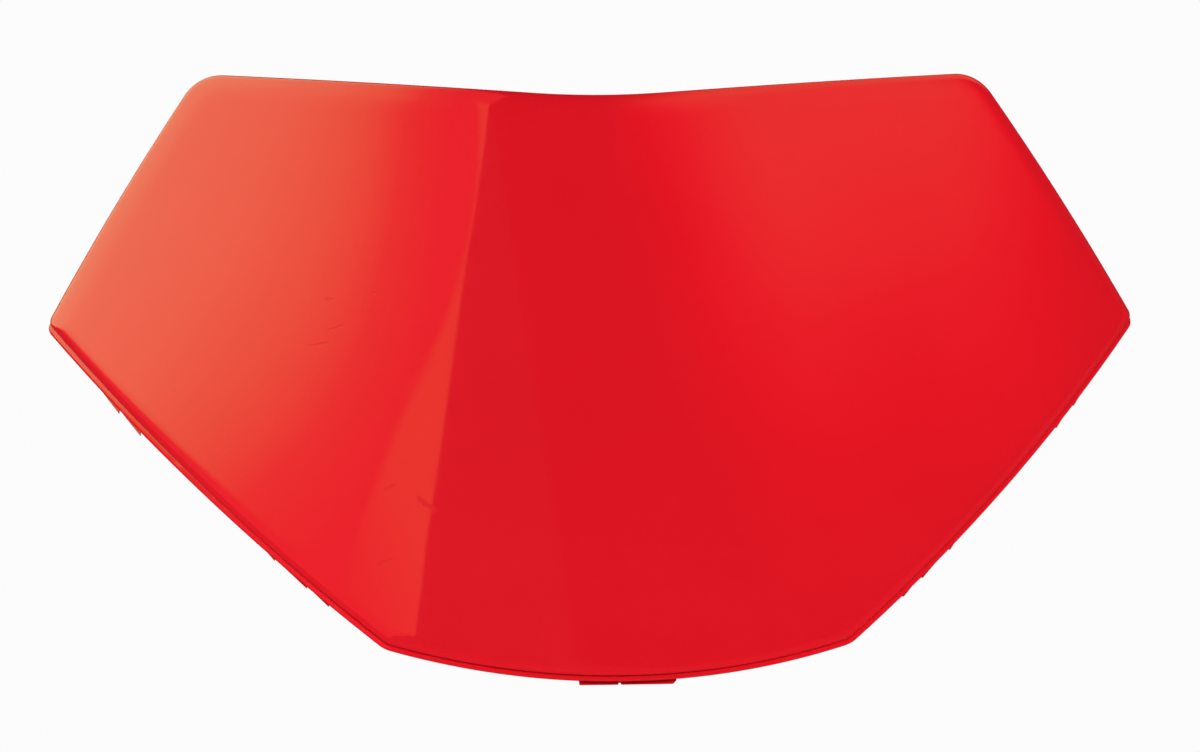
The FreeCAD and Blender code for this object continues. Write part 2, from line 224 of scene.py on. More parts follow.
# The right card: its direction, its corners, and its brightness from its border to its middle
FILL_AZIMUTH = math.radians(42)
FILL_ELEVATION = math.radians(50)
FILL_CORNERS = (
    (-1.1, -0.9),
    (2.0, -0.9),
    (2.0, 2.4),
    (-1.1, 2.4),
)
FILL_STOPS = (
    (0.00, (0.0, 0.0, 0.0)),
    (0.30, (1.8, 0.0, 0.0)),
    (0.55, (2.7, 0.1, 0.1)),
    (1.00, (2.9, 0.5, 0.3)),
)

# Where the right card fades out below, towards the plate's middle and towards its own far side
FILL_BELOW = (-0.40, 0.06)
FILL_BELOW_SLOPE = 0.22
FILL_MIDDLE = (-0.60, -0.06)
FILL_SIDE = (0.45, 1.35)

# Height at which the right card's fading towards the middle changes its lean, and both leans
FILL_KNEE = 0.3
FILL_LOW_LEAN = 0.5
FILL_HIGH_LEAN = -0.7

# Heights between which the right card's top grows paler, and its brightness there
FILL_TOP = (0.30, 0.60)
FILL_TOP_BRIGHTNESS = (2.85, 0.75, 0.38)


def length(name, description, millimetres):
    return bpy.props.FloatProperty(
        name=name, description=description, default=millimetres * MM, unit="LENGTH", precision=5)


def angle(name, description, degrees):
    return bpy.props.FloatProperty(
        name=name, description=description, default=math.radians(degrees), subtype="ANGLE")


def colour(name, description, rgb):
    return bpy.props.FloatVectorProperty(
        name=name, description=description, default=rgb, size=3, min=0.0, max=1.0, subtype="COLOR")


def amount(name, description, default):
    return bpy.props.FloatProperty(name=name, description=description, default=default, subtype="FACTOR")


class PlateSizes(bpy.types.PropertyGroup):
    """Sizes of the moulded plate"""

    tip_span: length("Tip span", "Distance between the two side tips before rounding", 231.0)
    tip_height: length("Tip height", "Height of the side tips above the middle", 11.0)
    top_corner_span: length("Top corner span", "Distance between the top corners before rounding", 166.8)
    top_vertex_height: length("Top vertex height", "Height of the dip in the top edge", 58.4)
    flank_angle: angle("Flank angle", "Rise of the top edge from its dip to its corners", 4.45)
    bottom_corner_span: length("Bottom corner span", "Distance between the bottom corners", 92.4)
    bottom_drop: length("Bottom drop", "Lowest point of the lip below the middle", 59.5)
    bottom_radius: length("Bottom radius", "Radius of the bottom edge", 172.0)
    lower_radius: length("Lower radius", "Radius of the edges from the bottom to the tips", 498.0)
    side_radius: length("Side radius", "Radius of the edges from the tips to the top", 672.0)
    vertex_radius: length("Vertex radius", "Rounding of the dip in the top edge", 175.0)
    top_corner_radius: length("Top corner radius", "Rounding of the top corners", 9.0)
    tip_radius: length("Tip radius", "Rounding of the side tips", 2.0)
    bottom_corner_radius: length("Bottom corner radius", "Rounding of the bottom corners", 7.0)
    plan_radius: length("Plan radius", "Radius of the front face seen from above", 225.0)
    lean_angle: angle("Lean", "How far the plate leans back", 25.0)
    wall: length("Wall", "Thickness of the moulded wall", 2.4)
    flange_depth: length("Flange depth", "Depth of the return flange behind the front", 6.5)
    upper_roll: length("Upper roll", "Width of the soft rounding along the front's upper edges", 5.3)
    lower_roll: length("Lower roll", "Width of the soft rounding along the front's lower edges", 3.0)
    roll_depth: length("Roll depth", "Depth of the soft rounding round the front", 0.9)
    back_edge_radius: length("Back edge radius", "Rounding of the flange's rear edges", 0.3)
    hollow_radius: length("Hollow radius", "Rounding between the back of the wall and the flange", 0.8)
    hollow_tip_radius: length("Hollow tip radius", "Rounding of the hollow's side tips", 0.5)
    lip_overhang: length("Lip overhang", "How far the lip stands out past the face", 1.25)
    lip_setback: length("Lip setback", "Depth of the lip behind the front", 2.0)
    lip_thickness: length("Lip thickness", "Thickness of the lip", 1.8)
    lip_edge_radius: length("Lip edge radius", "Rounding of the lip's edge", 0.4)


class FingerSizes(bpy.types.PropertyGroup):
    """Sizes of the snap fingers behind the lip"""

    depth: length("Depth", "How far the fingers reach behind the front", 10.5)
    end_chamfer: length("End chamfer", "Chamfer round the fingers' rear ends", 0.3)
    bottom_left: length("Bottom finger left end", "Distance of that end from the middle", 8.1)
    bottom_right: length("Bottom finger right end", "Distance of that end from the middle", 10.9)
    bottom_corner: length("Bottom barb corner", "How much of the right end is cut back", 0.7)
    bottom_drop: length("Bottom barb drop", "How far the bottom barb hangs below the lip", 0.8)
    notch_place: length("Notch place", "Place of the notch in the bottom barb, from the middle", -0.25)
    notch_width: length("Notch width", "Width of the notch in the bottom barb", 0.6)
    notch_height: length("Notch height", "Height of the notch in the bottom barb", 0.35)
    lower_start: length("Lower finger start", "Distance of the lower fingers from the middle", 57.4)
    lower_inner_step: length("Lower finger inner step", "Distance of that step from the middle", 61.7)
    lower_outer_step: length("Lower finger outer step", "Distance of that step from the middle", 68.1)
    lower_end: length("Lower finger end", "Distance of the lower fingers' outer ends from the middle", 70.1)
    upper_start: length("Upper finger start", "Distance of the upper fingers from the middle", 95.2)
    upper_step: length("Upper finger step", "Distance of that step from the middle", 99.7)
    upper_end: length("Upper finger end", "Distance of the upper fingers' outer ends from the middle", 104.0)
    catch_depth: length("Catch depth", "Depth of the barbs' catching face behind the front", 5.0)
    barb_length: length("Barb length", "Length of the barbs along the fingers", 3.4)
    barb_ramp: length("Barb ramp", "Size of the ramp at the back of the barbs", 1.2)
    left_lower_shift: length("Left lower shift", "How much further out the left lower finger stands", -0.5)
    right_lower_shift: length("Right lower shift", "How much further out the right lower finger stands", 0.8)
    left_lower_proud: length("Left lower teeth", "How far these teeth stand past the lip", 0.4)
    right_lower_proud: length("Right lower teeth", "How far these teeth stand past the lip", 0.7)
    upper_proud: length("Upper teeth", "How far the upper teeth stand past the lip", 0.7)


class PlateFinish(bpy.types.PropertyGroup):
    """Colour and surface of the plastic"""

    red: colour("Red", "Colour of the plastic", (0.716, 0.0084, 0.0168))
    deep_red: colour("Deep red", "Colour where the plastic is a little darker", (0.702, 0.0078, 0.0156))
    scuff_red: colour("Scuff red", "Colour of the small scuffs", (0.500, 0.0060, 0.0120))
    inside_red: colour("Inside red", "Colour of the plastic on the back", (0.640, 0.0085, 0.0150))
    gloss: amount("Front roughness", "Roughness of the polished front", 0.030)
    satin: amount("Back roughness", "Roughness of the back", 0.36)
    waviness: length("Waviness", "Height of the slow waves in the polished front", 0.06)


# The outline of the plate in its flat front view


def arc_points(centre, radius, first, last, count):
    """Points on a circle from one angle to the other, the last one left to the next stretch."""
    angles = [first + (last - first) * step / count for step in range(count)]
    return [centre + radius * Vector((math.cos(a), math.sin(a))) for a in angles]


def bearing(centre, point):
    """Angle at which a point is seen from a centre."""
    return math.atan2(point.y - centre.y, point.x - centre.x)


def arc_centre(start, end, radius):
    """Centre of the arc of this radius that turns left from start to end."""
    chord = end - start
    left = Vector((-chord.y, chord.x)).normalized()
    return (start + end) / 2 + left * math.sqrt(radius**2 - chord.length_squared / 4)


def circles_meet(centre_a, radius_a, centre_b, radius_b, corner):
    """The crossing of two circles that lies nearer to a corner of the plate."""
    apart = centre_b - centre_a
    along = (apart.length_squared + radius_a**2 - radius_b**2) / (2 * apart.length)
    across = math.sqrt(radius_a**2 - along**2)
    direction = apart.normalized()
    foot = centre_a + direction * along
    sideways = Vector((-direction.y, direction.x)) * across
    return min(foot + sideways, foot - sideways, key=lambda point: (point - corner).length)


class Outline:
    """The centres and corners that every outline of the plate shares."""

    def __init__(self, sizes):
        self.sizes = sizes
        self.bottom_centre = Vector((0.0, sizes.bottom_radius - sizes.bottom_drop))
        corner_half = sizes.bottom_corner_span / 2
        corner_fall = math.sqrt(sizes.bottom_radius**2 - corner_half**2)
        self.bottom_corner = Vector((corner_half, self.bottom_centre.y - corner_fall))
        self.tip = Vector((sizes.tip_span / 2, sizes.tip_height))
        flank_run = sizes.top_corner_span / 2
        top_corner = Vector((flank_run, sizes.top_vertex_height + flank_run * math.tan(sizes.flank_angle)))
        self.lower_centre = arc_centre(self.bottom_corner, self.tip, sizes.lower_radius)
        self.side_centre = arc_centre(self.tip, top_corner, sizes.side_radius)

    def points(self, lower_inset, upper_inset, tip_radius):
        """The whole outline, drawn inside the outer one by these amounts."""
        sizes = self.sizes
        bottom_radius = sizes.bottom_radius - lower_inset
        lower_radius = sizes.lower_radius - lower_inset
        side_radius = sizes.side_radius - upper_inset
        corner_radius = sizes.bottom_corner_radius - lower_inset
        top_radius = sizes.top_corner_radius - upper_inset
        vertex_radius = sizes.vertex_radius + upper_inset
        flank = sizes.flank_angle
        vertex = Vector((0.0, sizes.top_vertex_height - upper_inset / math.cos(flank)))

        corner = circles_meet(self.bottom_centre, bottom_radius - corner_radius,
                              self.lower_centre, lower_radius - corner_radius, self.bottom_corner)
        tip = circles_meet(self.lower_centre, lower_radius - tip_radius,
                           self.side_centre, side_radius - tip_radius, self.tip)
        along_flank = Vector((math.cos(flank), math.sin(flank)))
        inwards = Vector((math.sin(flank), -math.cos(flank)))
        start = vertex + inwards * top_radius - self.side_centre
        reach = -start.dot(along_flank) + math.sqrt(
            start.dot(along_flank) ** 2 - start.length_squared + (side_radius - top_radius) ** 2)
        top = vertex + inwards * top_radius + along_flank * reach
        dip = Vector((0.0, vertex.y + vertex_radius / math.cos(flank)))
        flank_start = top - inwards * top_radius
        flank_end = dip + inwards * vertex_radius

        down = -math.pi / 2
        corner_in = bearing(self.bottom_centre, corner)
        corner_out = bearing(self.lower_centre, corner)
        tip_in = bearing(self.lower_centre, tip)
        tip_out = bearing(self.side_centre, tip)
        top_in = bearing(self.side_centre, top)
        top_out = bearing(top, flank_start)
        half = arc_points(self.bottom_centre, bottom_radius, down, corner_in, BOTTOM_POINTS)
        half += arc_points(corner, corner_radius, corner_in, corner_out, BOTTOM_CORNER_POINTS)
        half += arc_points(self.lower_centre, lower_radius, corner_out, tip_in, LOWER_POINTS)
        half += arc_points(tip, tip_radius, tip_in, tip_out, TIP_POINTS)
        half += arc_points(self.side_centre, side_radius, tip_out, top_in, SIDE_POINTS)
        half += arc_points(top, top_radius, top_in, top_out, TOP_CORNER_POINTS)
        half += [flank_start.lerp(flank_end, step / FLANK_POINTS) for step in range(FLANK_POINTS)]
        half += arc_points(dip, vertex_radius, bearing(dip, flank_end), down, VERTEX_POINTS)
        middle_top = dip + Vector((0.0, -vertex_radius))
        left = [Vector((-point.x, point.y)) for point in reversed(half[1:])]
        return half + [middle_top] + left

    def inset(self, across, height):
        """How far a point of the bottom or lower edges lies inside the lip's outer line."""
        sizes = self.sizes
        if abs(across) < sizes.bottom_corner_span / 2:
            return sizes.bottom_radius - (Vector((across, height)) - self.bottom_centre).length
        return sizes.lower_radius - (Vector((abs(across), height)) - self.lower_centre).length

    def lower_line(self, across, outset):
        """Height of the lower edges' outer line at a place across the plate, moved out by an amount."""
        radius = self.sizes.lower_radius + outset
        return self.lower_centre.y - math.sqrt(radius**2 - (abs(across) - self.lower_centre.x) ** 2)


# Modelling in edit mode


def deselect_all():
    bpy.ops.object.select_all(action="DESELECT")


def select_where(mesh, kind, test):
    """Select only the edges or faces that pass a test."""
    bpy.ops.mesh.select_all(action="DESELECT")
    bpy.ops.mesh.select_mode(type=kind)
    shape = bmesh.from_edit_mesh(mesh)
    found = 0
    for item in {"EDGE": shape.edges, "FACE": shape.faces}[kind]:
        chosen = test(item)
        item.select_set(chosen)
        found += chosen
    shape.select_flush_mode()
    bmesh.update_edit_mesh(mesh)
    if not found:
        raise RuntimeError(f"nothing to select on {mesh.name}")


def start_ring(name, points, depth, fill):
    """A circle in edit mode whose vertices are laid along an outline."""
    deselect_all()
    bpy.ops.mesh.primitive_circle_add(vertices=len(points), radius=points[0].length, fill_type=fill)
    ring = bpy.context.object
    ring.name = ring.data.name = name
    places = ring.data.attributes.new("place", "INT", "POINT")
    places.data.foreach_set("value", range(len(points)))
    bpy.ops.object.mode_set(mode="EDIT")
    bpy.ops.mesh.select_mode(type="EDGE")
    bpy.ops.mesh.select_all(action="SELECT")
    lay_ring(ring.data, points, depth)
    return ring


def lay_ring(mesh, points, depth):
    """Move the selected ring to an outline at a depth."""
    shape = bmesh.from_edit_mesh(mesh)
    place = shape.verts.layers.int["place"]
    for vert in shape.verts:
        if vert.select:
            point = points[vert[place]]
            vert.co = (point.x, depth, point.y)
    bmesh.update_edit_mesh(mesh)


def next_ring(mesh, points, depth):
    """Extrude the selected ring and move the new one to an outline at a depth."""
    bpy.ops.mesh.extrude_edges_move()
    lay_ring(mesh, points, depth)


def merge_and_face_out():
    """Merge the points that meet and turn every face outwards."""
    bpy.ops.mesh.select_all(action="SELECT")
    bpy.ops.mesh.remove_doubles(threshold=TOUCH)
    bpy.ops.mesh.normals_make_consistent(inside=False)


def cut_at(place, direction):
    """Cut every face with a plane."""
    bpy.ops.mesh.select_all(action="SELECT")
    bpy.ops.mesh.bisect(plane_co=place, plane_no=direction, threshold=CUT_TOUCH)


def rounding(radius, steps):
    """The inset and the depth at each step of a rounded edge, from the face to the wall."""
    for step in range(steps + 1):
        turn = math.pi / 2 * step / steps
        yield radius * (1 - math.sin(turn)), radius * (1 - math.cos(turn))


class NUMBERPLATE_OT_mould(bpy.types.Operator):
    """Model the moulded plate with its flange, lip and snap fingers"""

    bl_idname = "number_plate.mould"
    bl_label = "Mould the plate"

    def execute(self, context):
        scene = context.scene
        sizes = scene.plate_sizes
        outline = Outline(sizes)
        shell = model_shell(sizes, outline)
        model_fingers(shell.data, sizes, scene.finger_sizes, outline)
        bpy.ops.object.mode_set(mode="OBJECT")
        lip = model_lip(sizes, outline)
        join_lip(shell, lip)
        finish_plate(shell, sizes, scene.plate_finish)
        curve_plate(shell, sizes)
        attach(shell, "root")
        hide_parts(NODE)
        return {"FINISHED"}


def model_shell(sizes, outline):
    """The front wall and its return flange, left in edit mode."""
    overhang, wall = sizes.lip_overhang, sizes.wall
    lower_inset = overhang + sizes.lower_roll + FRONT_BORDER
    front = outline.points(lower_inset, sizes.upper_roll + FRONT_BORDER, sizes.tip_radius)
    shell = start_ring("plate_moulding", front, 0.0, "NGON")
    mesh = shell.data
    select_where(mesh, "EDGE", lambda edge: edge.is_boundary)
    for step in range(ROLL_STEPS + 1):
        turn = math.pi / 2 * step / ROLL_STEPS
        share = 1.0 - math.sin(turn) ** ROLL_FULLNESS
        lower_inset = overhang + share * sizes.lower_roll
        points = outline.points(lower_inset, share * sizes.upper_roll, sizes.tip_radius)
        next_ring(mesh, points, sizes.roll_depth * (1.0 - math.cos(turn)))

    for inset, depth in reversed(list(rounding(sizes.back_edge_radius, BACK_STEPS))):
        points = outline.points(overhang + inset, inset, sizes.tip_radius)
        next_ring(mesh, points, sizes.flange_depth - depth)
    for inset, depth in rounding(sizes.back_edge_radius, BACK_STEPS):
        points = outline.points(overhang + wall - inset, wall - inset, sizes.hollow_tip_radius)
        next_ring(mesh, points, sizes.flange_depth - depth)
    for rise, run in rounding(sizes.hollow_radius, BACK_STEPS):
        inset = wall + run
        points = outline.points(overhang + inset, inset, sizes.hollow_tip_radius)
        next_ring(mesh, points, wall + rise)
    bpy.ops.mesh.edge_face_add()
    merge_and_face_out()
    return shell


def finger_places(fingers, side):
    """The ends and steps of the lower and the upper finger on one side, from the middle outwards."""
    shift = fingers.right_lower_shift if side == RIGHT else fingers.left_lower_shift
    lower = (fingers.lower_start, fingers.lower_inner_step, fingers.lower_outer_step, fingers.lower_end)
    upper = (fingers.upper_start, fingers.upper_step, fingers.upper_end)
    return [place + shift for place in lower], list(upper)


def finger_spans(fingers):
    """Where the fingers stand across the plate, each from its left to its right end."""
    spans = [(-fingers.bottom_left, fingers.bottom_right)]
    for side in (RIGHT, LEFT):
        for places in finger_places(fingers, side):
            spans.append(tuple(sorted((side * places[0], side * places[-1]))))
    return spans


def finger_cuts(fingers):
    """Places across the plate where the fingers and their teeth begin, end or step."""
    notch_left = fingers.notch_place - fingers.notch_width / 2
    notch_right = fingers.notch_place + fingers.notch_width / 2
    cuts = [place for span in finger_spans(fingers) for place in span]
    cuts.append(fingers.bottom_right - fingers.bottom_corner)
    steps = [notch_left, notch_right]
    for side in (RIGHT, LEFT):
        for places in finger_places(fingers, side):
            steps += [side * place for place in places[1:-1]]
    for place in steps:
        cuts += [place - STEP / 2, place + STEP / 2]
    return cuts


def tooth_proud(fingers, across):
    """How far a side tooth stands past the lip: proud at its inner end, level at its outer end."""
    side = RIGHT if across > 0 else LEFT
    place = abs(across)
    lower, upper = finger_places(fingers, side)
    if place > lower[-1] + TOUCH:
        places, most = upper, fingers.upper_proud
    else:
        places = lower
        most = fingers.right_lower_proud if side == RIGHT else fingers.left_lower_proud
    teeth = zip(places, places[1:])
    near, far = next(tooth for tooth in teeth if tooth[0] - TOUCH < place < tooth[1] + TOUCH)
    return most * (far - place) / (far - near)


def bottom_barb_rise(fingers, across):
    """How far the bottom barb's notch and its cut-back end lie above its straight edge."""
    if abs(across - fingers.notch_place) < fingers.notch_width / 2:
        return fingers.notch_height
    return max(0.0, across - (fingers.bottom_right - fingers.bottom_corner))


def model_fingers(mesh, sizes, fingers, outline):
    """Draw the snap fingers out of the flange's rear edge, then their barbs out of the fingers."""
    spans = finger_spans(fingers)
    for place in finger_cuts(fingers):
        cut_at((place, 0.0, 0.0), (1.0, 0.0, 0.0))

    def in_a_finger(centre):
        return centre.z < sizes.tip_height and any(left < centre.x < right for left, right in spans)

    def on_rear_edge(face):
        centre = face.calc_center_median()
        return abs(centre.y - sizes.flange_depth) < TOUCH and in_a_finger(centre)

    select_where(mesh, "FACE", on_rear_edge)
    straight = fingers.depth - fingers.end_chamfer - sizes.flange_depth
    bpy.ops.mesh.extrude_region_move(TRANSFORM_OT_translate={"value": (0.0, straight, 0.0)})
    bpy.ops.mesh.inset(thickness=fingers.end_chamfer, depth=fingers.end_chamfer)

    barb_back = fingers.catch_depth + fingers.barb_length
    ramp_start = barb_back - fingers.barb_ramp
    for depth in (fingers.catch_depth, ramp_start, barb_back):
        cut_at((0.0, depth, 0.0), (0.0, 1.0, 0.0))
    outer_side = sizes.lip_overhang + sizes.back_edge_radius + OUTER_SIDE_MARGIN

    def on_barb(face):
        centre = face.calc_center_median()
        if not (fingers.catch_depth < centre.y < barb_back and in_a_finger(centre)):
            return False
        return outline.inset(centre.x, centre.z) < outer_side

    select_where(mesh, "FACE", on_barb)
    bpy.ops.mesh.extrude_region_move()
    shape = bmesh.from_edit_mesh(mesh)
    for vert in shape.verts:
        if not vert.select:
            continue
        ramp = fingers.barb_ramp if vert.co.y > ramp_start + TOUCH else 0.0
        if abs(vert.co.x) <= fingers.bottom_right + TOUCH:
            rise = max(ramp, bottom_barb_rise(fingers, vert.co.x))
            vert.co.z = rise - sizes.bottom_drop - fingers.bottom_drop
        else:
            vert.co.z = outline.lower_line(vert.co.x, tooth_proud(fingers, vert.co.x) - ramp)
    bmesh.update_edit_mesh(mesh)


def model_lip(sizes, outline):
    """The set-back lip as a closed ring that sinks into the wall."""
    inner_lower = sizes.lip_overhang + sizes.wall / 2
    inner_line = outline.points(inner_lower, sizes.wall / 2, sizes.hollow_tip_radius)
    lip = start_ring("plate_lip", inner_line, sizes.lip_setback, "NOTHING")
    mesh = lip.data
    for inset, depth in rounding(sizes.lip_edge_radius, LIP_STEPS):
        points = outline.points(inset, LIP_SUNK, sizes.tip_radius)
        next_ring(mesh, points, sizes.lip_setback + depth)
    outer_line = outline.points(0.0, LIP_SUNK, sizes.tip_radius)
    lip_back = sizes.lip_setback + sizes.lip_thickness
    next_ring(mesh, outer_line, lip_back)
    next_ring(mesh, inner_line, lip_back)
    next_ring(mesh, inner_line, sizes.lip_setback)
    merge_and_face_out()
    bpy.ops.object.mode_set(mode="OBJECT")
    return lip


def join_lip(shell, lip):
    """Unite the lip with the shell, so that the plate is one closed moulding."""
    deselect_all()
    bpy.context.view_layer.objects.active = shell
    shell.select_set(True)
    union = shell.modifiers.new("lip", "BOOLEAN")
    union.operation = "UNION"
    union.solver = "EXACT"
    union.object = lip
    bpy.ops.object.modifier_apply(modifier=union.name)
    bpy.data.objects.remove(lip)


def curve_plate(shell, sizes):
    """Cut the flat plate finely enough to bend, then give it its plan curve and its lean."""
    bpy.ops.object.mode_set(mode="EDIT")
    outermost = math.ceil(sizes.tip_span / 2 / CUT_ACROSS)
    for step in range(-outermost, outermost + 1):
        cut_at((step * CUT_ACROSS + TOUCH, 0.0, 0.0), (1.0, 0.0, 0.0))
    lowest = math.floor(-sizes.bottom_drop / CUT_UP)
    highest = math.ceil(sizes.top_vertex_height / CUT_UP)
    for step in range(lowest, highest + 1):
        cut_at((0.0, 0.0, step * CUT_UP + TOUCH), (0.0, 0.0, 1.0))
    bpy.ops.mesh.select_all(action="SELECT")
    bpy.ops.mesh.remove_doubles(threshold=TOUCH)
    bpy.ops.object.mode_set(mode="OBJECT")
    slope = math.tan(sizes.lean_angle)
    for vert in shell.data.vertices:
        x, depth, z = vert.co
        vert.co.y = slope * z + sizes.plan_radius - math.sqrt((sizes.plan_radius - depth) ** 2 - x**2)
    shell.data.update()
    deselect_all()
    shell.select_set(True)
    bpy.ops.object.shade_smooth_by_angle(angle=SHARP_ANGLE)


# Finishes


def opaque(rgb):
    return (*rgb, 1.0)


class Finish:
    """One material and the helpers that wire the nodes of its pattern."""

    def __init__(self, name):
        self.material = bpy.data.materials.new(name)
        self.material.use_nodes = True
        self.tree = self.material.node_tree
        self.shader = self.tree.nodes["Principled BSDF"]
        self.place = self.add("ShaderNodeTexCoord", {}).outputs["Object"]

    def add(self, kind, sources, **settings):
        """A new node with its inputs fed and its settings made."""
        made = self.tree.nodes.new(kind)
        for name, setting in settings.items():
            setattr(made, name, setting)
        for key, source in sources.items():
            self.feed(made.inputs[key], source)
        return made

    def feed(self, socket, source):
        """Link a socket to an output, or set it to a plain value."""
        if isinstance(source, bpy.types.NodeSocket):
            self.tree.links.new(source, socket)
        else:
            socket.default_value = source

    def paint(self, name, source):
        """Feed one input of the shader."""
        self.feed(self.shader.inputs[name], source)

    def noise(self, size, detail, place=None):
        """Cloudy noise whose spots are about this size."""
        sources = {"Vector": place or self.place, "Scale": 1.0 / size, "Detail": detail}
        return self.add("ShaderNodeTexNoise", sources).outputs[0]

    def streaks(self, long, thin, turn):
        """Noise drawn out into streaks that lie across the plate at an angle."""
        scale = (1.0 / long, 1.0 / long, 1.0 / thin)
        sources = {"Vector": self.place, "Rotation": (0.0, turn, 0.0), "Scale": scale}
        turned = self.add("ShaderNodeMapping", sources)
        return self.noise(size=1.0, detail=1.0, place=turned.outputs["Vector"])

    def spot(self, across, height, half_length, half_width, slope):
        """One on a small slanted oval of the front, fading to nothing at its ragged border."""
        sources = {"Vector": self.place, "Scale": SCUFF_RAGGEDNESS, "Detail": 3.0}
        ragged = self.add("ShaderNodeTexNoise", sources).outputs["Color"]
        middle = (0.5, 0.5, 0.5)
        shift = self.add("ShaderNodeVectorMath", {0: ragged, 1: middle}, operation="SUBTRACT")
        width = (half_width * 2,) * 3
        moved = self.add(
            "ShaderNodeVectorMath",
            {0: shift.outputs["Vector"], 1: width, 2: self.place},
            operation="MULTIPLY_ADD",
        )
        fitted = self.add(
            "ShaderNodeMapping",
            {
                "Vector": moved.outputs["Vector"],
                "Location": (across, 0.0, height),
                "Rotation": (0.0, -slope, 0.0),
                "Scale": (half_length, SCUFF_THROUGH, half_width),
            },
            vector_type="TEXTURE",
        )
        away = self.add("ShaderNodeVectorMath", {0: fitted.outputs["Vector"]}, operation="LENGTH")
        return self.spread(away.outputs["Value"], *SCUFF_FADE, 1.0, 0.0)

    def curve(self, source, *factors):
        """A polynomial of a value, its factors from the highest power down."""
        total = factors[0]
        for factor in factors[1:]:
            total = self.maths("MULTIPLY_ADD", total, source, factor)
        return total

    def spread(self, source, low, high, to_low=0.0, to_high=1.0):
        """A smooth step between two values of a pattern."""
        sources = {"Value": source, "From Min": low, "From Max": high, "To Min": to_low, "To Max": to_high}
        return self.add("ShaderNodeMapRange", sources, interpolation_type="SMOOTHSTEP").outputs["Result"]

    def maths(self, operation, *values):
        """One sum on patterns or plain values."""
        made = self.add("ShaderNodeMath", {}, operation=operation)
        for socket, value in zip(made.inputs, values):
            self.feed(socket, value)
        return made.outputs["Value"]

    def total(self, first, *others):
        """Several patterns added up."""
        for other in others:
            first = self.maths("ADD", first, other)
        return first

    def blend(self, share, first, second):
        """A colour between two colours."""
        sources = {MIX_SHARE: share, MIX_FIRST: first, MIX_SECOND: second}
        return self.add("ShaderNodeMix", sources, data_type="RGBA").outputs[MIX_RESULT]

    def bump(self, height, distance, under=None):
        """Relief from a pattern, laid over other relief if there is some."""
        sources = {"Height": height, "Distance": distance}
        if under:
            sources["Normal"] = under
        return self.add("ShaderNodeBump", sources).outputs["Normal"]


def gloss_red_plastic(finish):
    """Polished red plastic: slow waves, orange peel, hairline scratches, faint smudges and small scuffs."""
    gloss = Finish("gloss_red_plastic")
    clouds = gloss.spread(gloss.noise(CLOUD_SIZE, detail=3.0), *FIRM)
    scuffs = gloss.spot(*SCUFFS[0])
    for place in SCUFFS[1:]:
        scuffs = gloss.maths("MAXIMUM", scuffs, gloss.spot(*place))
    clean = gloss.blend(clouds, opaque(finish.red), opaque(finish.deep_red))
    tint = gloss.maths("MULTIPLY", scuffs, SCUFF_TINT)
    gloss.paint("Base Color", gloss.blend(tint, clean, opaque(finish.scuff_red)))

    peel = gloss.noise(PEEL_SIZE, detail=2.0)
    scratches = gloss.total(*(
        gloss.spread(gloss.streaks(long, thin, slope), *noise_range)
        for long, thin, slope, noise_range in SCRATCHES
    ))
    smudges = gloss.noise(SMUDGE_SIZE, detail=4.0)
    gloss.paint("Roughness", gloss.total(
        gloss.spread(peel, *GENTLE, finish.gloss - PEEL_ROUGHNESS, finish.gloss + PEEL_ROUGHNESS),
        gloss.maths("MULTIPLY", scratches, SCRATCH_ROUGHNESS),
        gloss.maths("MULTIPLY", scuffs, SCUFF_ROUGHNESS),
        gloss.spread(smudges, *SMUDGE_RANGE, 0.0, SMUDGE_ROUGHNESS),
    ))

    waves = gloss.bump(gloss.noise(WAVE_SIZE, detail=1.0), finish.waviness)
    peeled = gloss.bump(peel, PEEL_HEIGHT, waves)
    scratched = gloss.bump(scratches, -SCRATCH_DEPTH, peeled)
    gloss.paint("Normal", gloss.bump(scuffs, -SCUFF_DEPTH, scratched))
    return gloss.material


def satin_red_plastic(finish):
    """The moulded back: fine grain, flow streaks, and the marks of the ejector pins."""
    satin = Finish("satin_red_plastic")
    flow = satin.streaks(FLOW_LENGTH, FLOW_WIDTH, FLOW_TURN)
    flowing = satin.spread(flow, *FIRM)
    satin.paint("Base Color", satin.blend(flowing, opaque(finish.inside_red), opaque(finish.red)))

    place = satin.add("ShaderNodeSeparateXYZ", {"Vector": satin.place})
    across = satin.maths("WRAP", place.outputs["X"], PIN_SPACING_ACROSS, 0.0)
    upwards = satin.maths("WRAP", place.outputs["Z"], PIN_SPACING_UP, 0.0)
    from_pin = satin.maths("SQRT", satin.total(
        satin.maths("POWER", satin.maths("SUBTRACT", across, PIN_SPACING_ACROSS / 2), 2.0),
        satin.maths("POWER", satin.maths("SUBTRACT", upwards, PIN_SPACING_UP / 2), 2.0),
    ))
    around_pins = satin.spread(from_pin, PIN_RADIUS - PIN_BORDER, PIN_RADIUS + PIN_BORDER)

    grain = satin.noise(GRAIN_SIZE, detail=3.0)
    satin.paint("Roughness", satin.total(
        satin.spread(grain, *GENTLE, finish.satin - GRAIN_ROUGHNESS, finish.satin + GRAIN_ROUGHNESS),
        satin.spread(around_pins, 0.0, 1.0, -PIN_POLISH, 0.0),
        satin.spread(flow, *GENTLE, -FLOW_ROUGHNESS, FLOW_ROUGHNESS),
    ))
    grained = satin.bump(grain, GRAIN_HEIGHT)
    satin.paint("Normal", satin.bump(around_pins, PIN_DEPTH, grained))
    return satin.material


